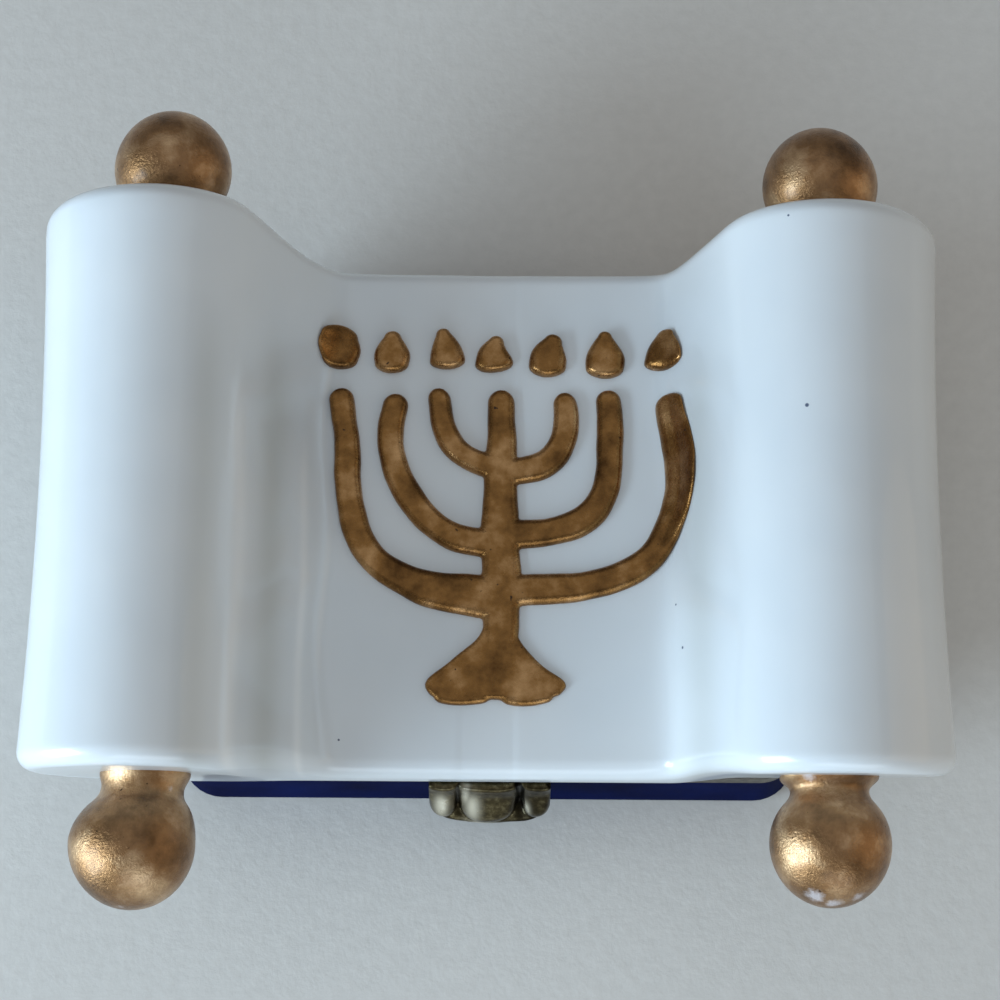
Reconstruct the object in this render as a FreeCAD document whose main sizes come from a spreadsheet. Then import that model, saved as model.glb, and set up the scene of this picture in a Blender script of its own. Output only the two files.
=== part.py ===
import FreeCAD, Part
import math
import os
import Sketcher

# Porcelain trinket box in the form of an open scroll. The lid is the scroll: two rolls joined by
# a sheet that carries a seven-branched candelabrum in relief. It turns on a brass hinge at the
# back of a low hollow base, and a brass clasp with three lobes closes it at the front.
# Millimetres, +Z up, +X to the right, the front at -Y, the origin under the middle of the base.

SIZES = [
    ("base_width", 45.6, "outside width of the base"),
    ("base_depth", 36.9, "outside depth of the base, front to back"),
    ("base_height", 8.2, "height of the base's porcelain"),
    ("corner_radius", 2.8, "upright corners of the base and the rims"),
    ("base_wall", 2.2, "thickness of the base's walls"),
    ("base_floor", 2.4, "thickness of the base's floor"),
    ("foot_round", 1.2, "rounding of the base's lower edge"),
    ("cavity_round", 1.0, "rounding round the floor of the base"),
    ("foot_recess", 0.5, "depth of the hollow under the base"),
    ("foot_ring", 2.6, "width of the flat ring that the base stands on"),
    ("foot_corner_round", 0.8, "upright corners of the hollow under the base"),
    ("band_thickness", 0.45, "sheet brass of the rims where they wrap the porcelain"),
    ("band_height", 1.3, "how far a rim reaches along the base's wall"),
    ("flange_thickness", 0.5, "brass on the meeting faces of base and lid"),
    ("flange_width", 1.9, "width of that brass, from outside to inside"),
    ("rim_clearance", 0.05, "gap between a rim's band and the porcelain inside it"),
    ("parting_gap", 0.1, "gap between the two rims when the lid is shut"),
    ("collar_height", 1.0, "porcelain collar of the lid that sits in its rim"),
    ("collar_wall", 2.2, "thickness of that collar"),
    ("lid_band_height", 0.8, "how far the lid's rim reaches up along the collar"),
    ("lid_recess", 0.7, "hollow in the underside of the sheet"),
    ("sheet_thickness", 2.7, "the scroll's open sheet"),
    ("sheet_overhang", 0.7, "how far the sheet stands over the base, front and back"),
    ("sheet_edge_round", 1.2, "rounding of the sheet's upper edges"),
    ("sheet_lip_round", 0.5, "rounding of the sheet's lower edges"),
    ("roll_spacing", 48.2, "distance between the two rolls' centre lines"),
    ("roll_lift", 0.1, "height of the rolls' lowest lines over the lid's underside"),
    ("roll_radius", 8.2, "radius of the rolls at their ends"),
    ("roll_waist", 0.45, "how much thinner the rolls are half way along"),
    ("roll_edge_round", 1.4, "rounding of the rolls' ends"),
    ("roll_end_land", 0.3, "straight stretch of a roll behind that rounding"),
    ("left_slope", 61.0, "slope of the left roll's inner side, in degrees"),
    ("right_slope", 67.0, "slope of the right roll's inner side, in degrees"),
    ("slope_bite", 0.4, "how deep these slopes start in the thinnest part of their roll"),
    ("valley_radius", 3.0, "hollow curve between a slope and the sheet"),
    ("left_front_overhang", 1.65, "how far the left roll stands over the base's front"),
    ("left_back_overhang", 1.95, "how far the left roll stands over the base's back"),
    ("right_front_overhang", 1.05, "how far the right roll stands over the base's front"),
    ("right_back_overhang", 1.0, "how far the right roll stands over the base's back"),
    ("finial_spacing", 47.5, "distance between left and right finials"),
    ("ball_radius", 4.3, "ball of a finial"),
    ("neck_radius", 2.65, "neck of a finial"),
    ("neck_sweep", 1.7, "hollow curve from neck to ball"),
    ("left_front_reach", 4.6, "ball's centre from the roll's end, left front"),
    ("left_back_reach", 4.3, "ball's centre from the roll's end, left back"),
    ("right_front_reach", 5.05, "ball's centre from the roll's end, right front"),
    ("right_back_reach", 4.3, "ball's centre from the roll's end, right back"),
    ("stem_offset", 0.7, "candelabrum's stem to the right of the middle"),
    ("ridge_radius", 0.95, "round section of the candelabrum's arms"),
    ("ridge_height", 0.55, "how far the arms stand over the sheet"),
    ("relief_height", 0.45, "how far the flames and the foot stand over the sheet"),
    ("arm_top", 9.6, "tips of the arms, from the middle of the sheet to the back"),
    ("outer_drop", 14.9, "from the tips down to where the outer arms meet the stem"),
    ("outer_left_reach", 11.6, "outer arm to the left of the stem"),
    ("outer_right_reach", 12.3, "outer arm to the right of the stem"),
    ("outer_bend", 6.0, "bend of the outer arms"),
    ("middle_drop", 10.8, "from the tips down to where the middle arms meet the stem"),
    ("middle_left_reach", 7.8, "middle arm to the left of the stem"),
    ("middle_right_reach", 8.0, "middle arm to the right of the stem"),
    ("middle_bend", 4.6, "bend of the middle arms"),
    ("inner_drop", 6.0, "from the tips down to where the inner arms meet the stem"),
    ("inner_left_reach", 4.4, "inner arm to the left of the stem"),
    ("inner_right_reach", 4.8, "inner arm to the right of the stem"),
    ("inner_bend", 3.0, "bend of the inner arms"),
    ("stem_drop", 18.0, "from the stem's tip down to the foot"),
    ("foot_width", 10.2, "candelabrum's foot, across its corners"),
    ("foot_height", 5.8, "candelabrum's foot, from its neck to its lower edge"),
    ("foot_corner", 1.1, "height of the foot's blunt corners"),
    ("foot_curve", 9.0, "radius of the foot's hollow sides"),
    ("flame_gap", 1.0, "from an arm's round tip to the flame over it"),
    ("flame_radius", 1.4, "round lower end of a flame"),
    ("flame_tip_radius", 0.55, "upper end of a flame"),
    ("flame_length", 1.35, "distance between those two ends' centres"),
    ("knuckle_radius", 0.85, "outside of the hinge's knuckles"),
    ("knuckle_standoff", 0.1, "gap between the knuckles and the rims' back faces"),
    ("knuckle_gap", 0.1, "gap between neighbouring knuckles"),
    ("lid_knuckle_length", 5.0, "the lid's knuckle, in the middle"),
    ("base_knuckle_length", 3.9, "each of the base's two knuckles"),
    ("leaf_thickness", 0.5, "brass strap that holds a knuckle to its rim"),
    ("pin_radius", 0.4, "hinge pin"),
    ("pin_clearance", 0.05, "gap between the pin and the knuckles' bores"),
    ("pin_head_radius", 0.65, "peened ends of the pin"),
    ("pin_head_length", 0.35, "thickness of those ends"),
    ("clasp_width", 8.8, "clasp across its three lobes"),
    ("clasp_height", 6.0, "clasp from top to bottom"),
    ("clasp_gap", 0.35, "gap between the clasp's back and the base's front"),
    ("clasp_top_gap", 0.2, "gap between the clasp and the sheet over it"),
    ("clasp_plate", 0.7, "thickness of the clasp's plate"),
    ("middle_lobe_width", 4.3, "width of the clasp's middle lobe"),
    ("middle_lobe_depth", 1.5, "how far the middle lobe stands out of the plate"),
    ("side_lobe_depth", 1.1, "how far the side lobes stand out of the plate"),
    ("lobe_groove", 0.25, "width of the grooves between the lobes"),
    ("clasp_sweep", 1.1, "how much shorter the clasp is at its sides"),
    ("tab_width", 3.0, "strap that holds the clasp to the lid's rim"),
    ("tab_height", 0.9, "height of that strap"),
    ("stud_radius", 0.55, "catch stud on the base's rim"),
    ("stud_length", 0.65, "how far the stud stands out"),
    ("stud_clearance", 0.25, "gap round the stud in the clasp's groove"),
]

doc = FreeCAD.newDocument("TrinketBox")
sizes = doc.addObject("Spreadsheet::Sheet", "Sizes")
for row, (name, value, meaning) in enumerate(SIZES, start=1):
    sizes.set(f"A{row}", meaning)
    sizes.set(f"B{row}", str(value))
    sizes.setAlias(f"B{row}", name)
doc.recompute()

# Levels and places that several pieces share, as expressions of the sheet's values
RIM_TOP = "(Sizes.base_height + Sizes.flange_thickness)"
LID_RIM_LOW = f"({RIM_TOP} + Sizes.parting_gap)"
LID_SEAT = f"({LID_RIM_LOW} + Sizes.flange_thickness)"
UNDERSIDE = f"({LID_SEAT} + Sizes.collar_height)"
SHEET_TOP = f"({UNDERSIDE} + Sizes.sheet_thickness)"
ROLL_AXIS = f"({UNDERSIDE} + Sizes.roll_lift + Sizes.roll_radius)"
ROLL_X = "(Sizes.roll_spacing / 2)"
BAND_INSET = "(Sizes.band_thickness + Sizes.rim_clearance)"
SHEET_DEPTH = "(Sizes.base_depth + 2 * Sizes.sheet_overhang)"
HINGE_Y = "(Sizes.base_depth / 2 + Sizes.knuckle_standoff + Sizes.knuckle_radius)"
HINGE_Z = f"({RIM_TOP} + Sizes.parting_gap / 2)"
RIDGE_LEVEL = f"({SHEET_TOP} + Sizes.ridge_height - Sizes.ridge_radius)"
CLASP_TOP = f"({UNDERSIDE} - Sizes.clasp_top_gap)"
CLASP_BACK = "(Sizes.base_depth / 2 + Sizes.clasp_gap)"
STUD_Z = f"({RIM_TOP} - Sizes.flange_thickness - Sizes.band_height / 2)"

NEAR = 1e-4


def number(expression):
    """What an expression of the sheet's values comes to."""
    return float(sizes.evalExpression(expression))


def new_body(label):
    body = doc.addObject("PartDesign::Body", label)
    body.Label = label
    return body


def new_sketch(body, name, role, **offset):
    """An empty sketch on one of the body's own origin planes, moved by expressions for x, y and z."""
    sketch = body.newObject("Sketcher::SketchObject", name)
    support = next(f for f in body.Origin.OriginFeatures if f.Role == role)
    sketch.AttachmentSupport = (support, [""])
    sketch.MapMode = "FlatFace"
    for axis, expression in offset.items():
        sketch.setExpression(f".AttachmentOffset.Base.{axis}", expression)
    return sketch


def constrain(sketch, expression, kind, *where):
    """Adds a dimension and binds it to the expression."""
    index = sketch.addConstraint(Sketcher.Constraint(kind, *where, number(expression)))
    sketch.setExpression(f"Constraints[{index}]", expression)


def bulge_radius(half, depth):
    """Radius of the arc that spans twice half and stands depth out."""
    return f"(({half} ^ 2 + {depth} ^ 2) / (2 * {depth}))"


def arc_between(start, end, radius, side):
    """The short arc between two points that swells to the left (1) or the right (-1) of the way."""
    chord = end - start
    half = chord.Length / 2
    across = FreeCAD.Vector(chord.y, -chord.x, 0) / chord.Length
    centre = start + chord / 2 + across * side * math.sqrt(radius**2 - half**2)
    first, last = (end, start) if side > 0 else (start, end)
    angles = [math.atan2(p.y - centre.y, p.x - centre.x) for p in (first, last)]
    return Part.ArcOfCircle(Part.Circle(centre, FreeCAD.Vector(0, 0, 1), radius), *angles)


def outline(sketch, points, bends=None):
    """A closed outline through points given as pairs of expressions.

    bends gives the stretches that are arcs: number of the stretch, then its radius and its side.
    """
    bends = bends or {}
    places = [FreeCAD.Vector(number(x), number(y), 0) for x, y in points]
    ends = []
    for i, (start, end) in enumerate(zip(places, places[1:] + places[:1])):
        if i in bends:
            radius, side = bends[i]
            piece = sketch.addGeometry(arc_between(start, end, number(radius), side), False)
            constrain(sketch, radius, "Radius", piece)
            ends.append((piece, 2, 1) if side > 0 else (piece, 1, 2))
        else:
            piece = sketch.addGeometry(Part.LineSegment(start, end), False)
            ends.append((piece, 1, 2))
    for i, (piece, first, _) in enumerate(ends):
        before, _, last = ends[i - 1]
        sketch.addConstraint(Sketcher.Constraint("Coincident", before, last, piece, first))
        constrain(sketch, points[i][0], "DistanceX", -1, 1, piece, first)
        constrain(sketch, points[i][1], "DistanceY", -1, 1, piece, first)


def rounded_rectangle(sketch, width, depth, radius):
    """A rectangle with round corners, centred on the sketch's origin."""
    x, y, r = f"(({width}) / 2)", f"(({depth}) / 2)", f"({radius})"
    inner_x, inner_y = f"({x} - {r})", f"({y} - {r})"
    points = [
        (f"-{inner_x}", f"-{y}"),
        (inner_x, f"-{y}"),
        (x, f"-{inner_y}"),
        (x, inner_y),
        (inner_x, y),
        (f"-{inner_x}", y),
        (f"-{x}", inner_y),
        (f"-{x}", f"-{inner_y}"),
    ]
    outline(sketch, points, {i: (r, -1) for i in (1, 3, 5, 7)})


def set_length(feature, length, reverse, both_ways):
    feature.setExpression("Length", length)
    feature.Reversed = reverse
    if both_ways:
        feature.SideType = "Symmetric"


def finish_feature(feature):
    """Works the feature out, and stops where it failed."""
    doc.recompute()
    if "Invalid" in feature.State or feature.Shape.isNull():
        raise RuntimeError(f"{feature.Name} failed: {feature.State}")
    return feature


def pad(body, sketch, length, reverse=False, both_ways=False):
    feature = body.newObject("PartDesign::Pad", sketch.Name + "Pad")
    feature.Profile = sketch
    set_length(feature, length, reverse, both_ways)
    return finish_feature(feature)


def pocket(body, sketch, length, reverse=False, both_ways=False):
    """Cuts the sketch out of the body, and stops where the cut takes nothing away."""
    before = body.Shape.Volume
    feature = body.newObject("PartDesign::Pocket", sketch.Name + "Pocket")
    feature.Profile = sketch
    set_length(feature, length, reverse, both_ways)
    finish_feature(feature)
    if not body.Shape.Volume < before - NEAR:
        raise RuntimeError(f"{feature.Name} cuts nothing")
    return feature


def revolve(body, sketch):
    feature = body.newObject("PartDesign::Revolution", sketch.Name + "Turned")
    feature.Profile = sketch
    feature.ReferenceAxis = (sketch, ["V_Axis"])
    feature.Angle = 360
    return finish_feature(feature)


def round_edges(body, name, radius, wanted):
    """Rounds the edges of the body so far that the test picks."""
    base = body.Tip
    edges = [f"Edge{i}" for i, e in enumerate(base.Shape.Edges, 1) if wanted(e)]
    if not edges:
        raise RuntimeError(f"{name} found no edge to round")
    feature = body.newObject("PartDesign::Fillet", name)
    feature.Base = (base, edges)
    feature.setExpression("Radius", radius)
    return finish_feature(feature)


def round_block(body, name, outline_size, low, height):
    """A block centred on the middle, with rounded upright corners, added at the level low."""
    sketch = new_sketch(body, name, "XY_Plane", z=low)
    rounded_rectangle(sketch, *outline_size)
    pad(body, sketch, height)


def round_hole(body, name, outline_size, start, height, upward=False):
    """A hole centred on the middle, with rounded upright corners, cut from the level start."""
    sketch = new_sketch(body, name, "XY_Plane", z=start)
    rounded_rectangle(sketch, *outline_size)
    pocket(body, sketch, height, reverse=upward)


def inset(amount):
    """Width, depth and corner radius of the base's outline, moved inwards by an expression."""
    return (
        f"Sizes.base_width - 2 * {amount}",
        f"Sizes.base_depth - 2 * {amount}",
        f"Sizes.corner_radius - {amount}",
    )


def level_loop(level):
    """A test for the edges that lie flat at this height."""
    z = number(level)
    return lambda e: abs(e.BoundBox.ZMin - z) < NEAR and e.BoundBox.ZLength < NEAR


# Base: a low tray with a step round its top for the rim and a hollow foot


def make_base():
    body = new_body("porcelain_base")
    step = "(Sizes.base_height - Sizes.band_height - Sizes.rim_clearance)"
    round_block(body, "BaseOuter", inset("0"), "0", step)
    round_edges(body, "FootEdge", "Sizes.foot_round", level_loop("0"))
    round_block(body, "BaseNeck", inset(BAND_INSET), step, f"Sizes.base_height - {step}")
    deep = "Sizes.base_height - Sizes.base_floor"
    round_hole(body, "Cavity", inset("Sizes.base_wall"), "Sizes.base_height", deep)
    round_edges(body, "CavityEdge", "Sizes.cavity_round", level_loop("Sizes.base_floor"))
    width, depth, _ = inset("(Sizes.foot_round + Sizes.foot_ring)")
    hollow = (width, depth, "Sizes.foot_corner_round")
    round_hole(body, "FootHollow", hollow, "0", "Sizes.foot_recess", upward=True)
    return body


# Rims: folded brass, a flange on the meeting face and a band round the porcelain


def make_rim(label, low, high, band_from, band_height, upward):
    """One rim, from low to high, whose band starts at band_from and runs up or down."""
    body = new_body(label)
    round_block(body, label + "_block", inset("0"), low, f"{high} - {low}")
    band = inset("Sizes.band_thickness")
    round_hole(body, label + "_band", band, band_from, band_height, upward)
    round_hole(body, label + "_mouth", inset("Sizes.flange_width"), high, f"{high} - {low}")
    return body


# Lid: the sheet with its valleys, the two turned rolls, the collar below and the relief on top


def make_lid():
    sheet = new_body("scroll_sheet")
    add_sheet(sheet)
    round_block(sheet, "Collar", inset(BAND_INSET), LID_SEAT, "Sizes.collar_height")
    deep = "Sizes.collar_height + Sizes.lid_recess"
    round_hole(sheet, "LidHollow", inset("Sizes.collar_wall"), LID_SEAT, deep, upward=True)
    add_candelabrum(sheet)
    lid = doc.addObject("Part::MultiFuse", "porcelain_lid")
    lid.Shapes = [sheet, make_roll("left", "-"), make_roll("right", "")]
    return finish_feature(lid)


def slope_points(side):
    """Where a roll's slope leaves the roll, where the hollow at its foot starts, and where that ends."""
    thin = "(Sizes.roll_radius - Sizes.roll_waist - Sizes.slope_bite)"
    slope = f"Sizes.{side}_slope"
    rise = f"({ROLL_AXIS} + {thin} * cos({slope}) - {SHEET_TOP})"
    foot = f"({thin} * sin({slope}) + {rise} / tan({slope}))"
    run = f"(Sizes.valley_radius * tan({slope} / 2))"
    return [
        (f"({ROLL_X} - {thin} * sin({slope}))", f"({SHEET_TOP} + {rise})"),
        (f"({ROLL_X} - {foot} + {run} * cos({slope}))", f"({SHEET_TOP} + {run} * sin({slope}))"),
        (f"({ROLL_X} - {foot} - {run})", SHEET_TOP),
    ]


def add_sheet(body):
    """The section across the rolls: flat below, flat on top, with a slope up to each roll."""
    section = new_sketch(body, "SheetSection", "XZ_Plane")
    deep_x = f"({ROLL_X} - Sizes.roll_radius / 3)"
    left = [(f"-{x}", z) for x, z in slope_points("left")]
    right = slope_points("right")
    outline(
        section,
        [
            (f"-{deep_x}", UNDERSIDE),
            (deep_x, UNDERSIDE),
            (deep_x, right[0][1]),
            *right,
            *reversed(left),
            (f"-{deep_x}", left[0][1]),
        ],
        {4: ("Sizes.valley_radius", 1), 6: ("Sizes.valley_radius", 1)},
    )
    pad(body, section, SHEET_DEPTH, both_ways=True)
    end = number(SHEET_DEPTH) / 2
    top, low = number(SHEET_TOP), number(UNDERSIDE)
    half = max(number(right[0][0]), -number(left[0][0]))

    def at_end(edge):
        return edge.BoundBox.YLength < NEAR and abs(abs(edge.BoundBox.YMin) - end) < NEAR

    def upper(edge):
        box = edge.BoundBox
        return at_end(edge) and box.ZMin > top - NEAR and max(-box.XMin, box.XMax) < half + NEAR

    def lower(edge):
        return at_end(edge) and abs(edge.BoundBox.ZMax - low) < NEAR

    round_edges(body, "SheetEdge", "Sizes.sheet_edge_round", upper)
    round_edges(body, "SheetLip", "Sizes.sheet_lip_round", lower)


def roll_end(side, end):
    """How far one end of a roll lies from the middle."""
    return f"(Sizes.base_depth / 2 + Sizes.{side}_{end}_overhang)"


def make_roll(side, sign):
    """One roll: drawn out through three circles, thinner half way along, with a round disc at each end."""
    body = new_body(f"scroll_{side}_roll")
    disc = "(Sizes.roll_edge_round + Sizes.roll_end_land)"
    front, back = roll_end(side, "front"), roll_end(side, "back")
    front_circle, back_circle = f"({front} - {disc})", f"({disc} - {back})"
    middle = f"(({front_circle} + {back_circle}) / 2)"
    waist = "Sizes.roll_radius - Sizes.roll_waist"
    rings = []
    for name, place, radius in (
        ("Front", front_circle, "Sizes.roll_radius"),
        ("Waist", middle, waist),
        ("Back", back_circle, "Sizes.roll_radius"),
    ):
        ring = new_sketch(body, side + name, "XZ_Plane", x=f"{sign}{ROLL_X}", y=ROLL_AXIS, z=place)
        circle(ring, radius)
        rings.append(ring)
    doc.recompute()
    loft = body.newObject("PartDesign::AdditiveLoft", side + "_roll")
    loft.Profile = rings[0]
    loft.Sections = rings[1:]
    finish_feature(loft)
    for name, place, reverse in (("FrontDisc", front_circle, False), ("BackDisc", back_circle, True)):
        end = new_sketch(body, side + name, "XZ_Plane", x=f"{sign}{ROLL_X}", y=ROLL_AXIS, z=place)
        circle(end, "Sizes.roll_radius")
        pad(body, end, disc, reverse=reverse)
    ends = (-number(front), number(back))

    def at_end(edge):
        box = edge.BoundBox
        return box.YLength < NEAR and min(abs(box.YMin - end) for end in ends) < NEAR

    round_edges(body, side + "_roll_edges", "Sizes.roll_edge_round", at_end)
    return body


# Candelabrum: ridges of round section for the stem and the arms, a foot and seven flames


def add_candelabrum(body):
    stem = "Sizes.stem_offset"
    low = "(Sizes.arm_top - Sizes.stem_drop)"
    tips = [stem]
    for level in ("outer", "middle", "inner"):
        tips.append(f"({stem} - Sizes.{level}_left_reach)")
        tips.append(f"({stem} + Sizes.{level}_right_reach)")
    add_foot(body, stem, low)
    add_flames(body, tips)
    for level in ("outer", "middle", "inner"):
        add_arms(body, level)
    add_ridge(body, "Stem", [(stem, "Sizes.arm_top"), (stem, f"{low} - Sizes.ridge_radius")])
    for i, tip in enumerate(tips):
        ball = body.newObject("PartDesign::AdditiveSphere", f"Tip{i}")
        ball.setExpression("Radius", "Sizes.ridge_radius")
        ball.setExpression(".Placement.Base.x", tip)
        ball.setExpression(".Placement.Base.y", "Sizes.arm_top")
        ball.setExpression(".Placement.Base.z", RIDGE_LEVEL)
    doc.recompute()


def add_arms(body, level):
    """The two arms of one level: down from the left tip, across the stem and up to the right tip."""
    left = f"(Sizes.stem_offset - Sizes.{level}_left_reach)"
    right = f"(Sizes.stem_offset + Sizes.{level}_right_reach)"
    low = f"(Sizes.arm_top - Sizes.{level}_drop)"
    bend = f"Sizes.{level}_bend"
    add_ridge(
        body,
        level.capitalize() + "Arms",
        [
            (left, "Sizes.arm_top"),
            (left, f"{low} + {bend}"),
            (f"{left} + {bend}", low),
            (f"{right} - {bend}", low),
            (right, f"{low} + {bend}"),
            (right, "Sizes.arm_top"),
        ],
        {1: (bend, -1), 3: (bend, -1)},
    )


def add_ridge(body, name, points, bends=None):
    """A ridge of round section that follows an open line in the sheet's face."""
    path = new_sketch(body, name + "Path", "XY_Plane", z=RIDGE_LEVEL)
    open_line(path, points, bends or {})
    start_x, start_y = points[0]
    section = new_sketch(body, name + "Section", "XZ_Plane", z=f"-({start_y})")
    centre = FreeCAD.Vector(number(start_x), number(RIDGE_LEVEL), 0)
    radius = number("Sizes.ridge_radius")
    section.addGeometry(Part.Circle(centre, FreeCAD.Vector(0, 0, 1), radius), False)
    constrain(section, "Sizes.ridge_radius", "Radius", 0)
    constrain(section, start_x, "DistanceX", -1, 1, 0, 3)
    constrain(section, RIDGE_LEVEL, "DistanceY", -1, 1, 0, 3)
    doc.recompute()
    ridge = body.newObject("PartDesign::AdditivePipe", name)
    ridge.Profile = section
    ridge.Spine = (path, [f"Edge{i}" for i in range(1, len(points))])
    finish_feature(ridge)


def open_line(sketch, points, bends):
    """As outline, but left open after the last point."""
    places = [FreeCAD.Vector(number(x), number(y), 0) for x, y in points]
    ends = []
    for i, (start, end) in enumerate(zip(places, places[1:])):
        if i in bends:
            radius, side = bends[i]
            piece = sketch.addGeometry(arc_between(start, end, number(radius), side), False)
            ends.append((piece, 2, 1) if side > 0 else (piece, 1, 2))
            constrain(sketch, radius, "Radius", piece)
        else:
            piece = sketch.addGeometry(Part.LineSegment(start, end), False)
            ends.append((piece, 1, 2))
    for i, (piece, first, _) in enumerate(ends):
        if i:
            before, _, last = ends[i - 1]
            sketch.addConstraint(Sketcher.Constraint("Coincident", before, last, piece, first))
        constrain(sketch, points[i][0], "DistanceX", -1, 1, piece, first)
        constrain(sketch, points[i][1], "DistanceY", -1, 1, piece, first)
    piece, _, last = ends[-1]
    constrain(sketch, points[-1][0], "DistanceX", -1, 1, piece, last)
    constrain(sketch, points[-1][1], "DistanceY", -1, 1, piece, last)


def add_foot(body, stem, top):
    """The foot: narrow at the stem, with hollow sides that run out to two blunt corners."""
    low = f"({top} - Sizes.foot_height)"
    corner = f"({low} + Sizes.foot_corner)"
    half = "(Sizes.foot_width / 2)"
    inner = f"({half} - Sizes.foot_corner)"
    neck = "Sizes.ridge_radius"
    foot = new_sketch(body, "Foot", "XY_Plane", z=SHEET_TOP)
    outline(
        foot,
        [
            (f"{stem} - {neck}", top),
            (f"{stem} - {half}", corner),
            (f"{stem} - {inner}", low),
            (f"{stem} + {inner}", low),
            (f"{stem} + {half}", corner),
            (f"{stem} + {neck}", top),
        ],
        {
            0: ("Sizes.foot_curve", 1),
            1: ("Sizes.foot_corner", -1),
            3: ("Sizes.foot_corner", -1),
            4: ("Sizes.foot_curve", 1),
        },
    )
    pad(body, foot, "Sizes.relief_height")


def add_flames(body, tips):
    """Seven drops, each the outline round a large and a small circle, over the arms' tips."""
    sketch = new_sketch(body, "Flames", "XY_Plane", z=SHEET_TOP)
    big, small, length = "Sizes.flame_radius", "Sizes.flame_tip_radius", "Sizes.flame_length"
    low = f"(Sizes.arm_top + Sizes.ridge_radius + Sizes.flame_gap + {big})"
    sine = f"(({big} - {small}) / {length})"
    cosine = f"sqrt(1 - {sine} ^ 2)"
    for tip in tips:
        wide, narrow = f"{big} * {cosine}", f"{small} * {cosine}"
        big_y = f"({low} + {big} * {sine})"
        small_y = f"({low} + {length} + {small} * {sine})"
        bottom = f"({low} - {big})"
        points = [
            (f"{tip} + {wide}", big_y),
            (f"{tip} + {narrow}", small_y),
            (f"{tip} - {narrow}", small_y),
            (f"{tip} - {wide}", big_y),
            (tip, bottom),
        ]
        outline(sketch, points, {1: (small, -1), 3: (big, -1), 4: (big, -1)})
    pad(body, sketch, "Sizes.relief_height")


# Finials: turned balls on short necks, set against the ends of the rolls


def make_finial(side, end):
    body = new_body(f"finial_{end}_{side}")
    reach = f"Sizes.{side}_{end}_reach"
    ball, neck = "Sizes.ball_radius", "Sizes.neck_radius"
    meet = f"({reach} - sqrt({ball} ^ 2 - {neck} ^ 2))"
    profile = new_sketch(body, body.Name + "_profile", "XY_Plane")
    outline(
        profile,
        [("0", "0"), (neck, "0"), (neck, meet), (ball, reach), ("0", f"{reach} + {ball}")],
        {2: (ball, -1), 3: (ball, -1)},
    )
    revolve(body, profile)
    level = number(meet)

    def junction(edge):
        box = edge.BoundBox
        return box.YLength < NEAR and abs(box.YMin - level) < NEAR

    round_edges(body, body.Name + "_sweep", "Sizes.neck_sweep", junction)
    across = "-" if side == "left" else ""
    along = "-" if end == "front" else ""
    body.setExpression(".Placement.Base.x", f"{across}Sizes.finial_spacing / 2")
    body.setExpression(".Placement.Base.y", f"{along}{roll_end(side, end)}")
    body.setExpression(".Placement.Base.z", ROLL_AXIS)
    if end == "front":
        body.setExpression(".Placement.Rotation.Angle", "180")
    return body


# Hinge: knuckles with straps on the two rims, and the pin through them


def add_knuckle(body, name, start, length, low, high):
    """A tube on the hinge's line with a strap in front of it, between the heights low and high."""
    tube = new_sketch(body, name + "Tube", "YZ_Plane", x=HINGE_Y, y=HINGE_Z, z=start)
    circle(tube, "Sizes.knuckle_radius")
    pad(body, tube, length)
    strap = new_sketch(body, name + "Strap", "YZ_Plane", z=start)
    face = "Sizes.base_depth / 2"
    back = f"{face} + Sizes.leaf_thickness"
    outline(strap, [(face, low), (back, low), (back, high), (face, high)])
    pad(body, strap, length)
    bore = new_sketch(body, name + "Bore", "YZ_Plane", x=HINGE_Y, y=HINGE_Z, z=start)
    circle(bore, "Sizes.pin_radius + Sizes.pin_clearance")
    pocket(body, bore, length, reverse=True)


def circle(sketch, radius):
    """A circle on the sketch's origin."""
    centre = FreeCAD.Vector(0, 0, 0)
    piece = sketch.addGeometry(Part.Circle(centre, FreeCAD.Vector(0, 0, 1), number(radius)), False)
    sketch.addConstraint(Sketcher.Constraint("Coincident", piece, 3, -1, 1))
    constrain(sketch, radius, "Radius", piece)


def make_base_knuckles():
    body = new_body("base_hinge_knuckles")
    near = "(Sizes.lid_knuckle_length / 2 + Sizes.knuckle_gap)"
    far = f"({near} + Sizes.base_knuckle_length)"
    low = "Sizes.base_height - Sizes.band_height"
    for name, start in (("Left", f"-{far}"), ("Right", near)):
        add_knuckle(body, name, start, "Sizes.base_knuckle_length", low, RIM_TOP)
    return body


def make_lid_knuckle():
    body = new_body("lid_hinge_knuckle")
    length = "Sizes.lid_knuckle_length"
    high = f"{LID_SEAT} + Sizes.collar_height / 2"
    add_knuckle(body, "Middle", f"-{length} / 2", length, LID_RIM_LOW, high)
    return body


def make_pin():
    body = new_body("hinge_pin")
    half = "(Sizes.lid_knuckle_length / 2 + 2 * Sizes.knuckle_gap + Sizes.base_knuckle_length)"
    shaft = new_sketch(body, "PinShaft", "YZ_Plane", x=HINGE_Y, y=HINGE_Z)
    circle(shaft, "Sizes.pin_radius")
    pad(body, shaft, f"2 * {half}", both_ways=True)
    for name, start, reverse in (("PinLeft", f"-{half}", True), ("PinRight", half, False)):
        head = new_sketch(body, name, "YZ_Plane", x=HINGE_Y, y=HINGE_Z, z=start)
        circle(head, "Sizes.pin_head_radius")
        pad(body, head, "Sizes.pin_head_length", reverse=reverse)
    return body


# Clasp: a plate with three upright lobes and a strap to the lid's rim, grooved behind for the stud


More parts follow.
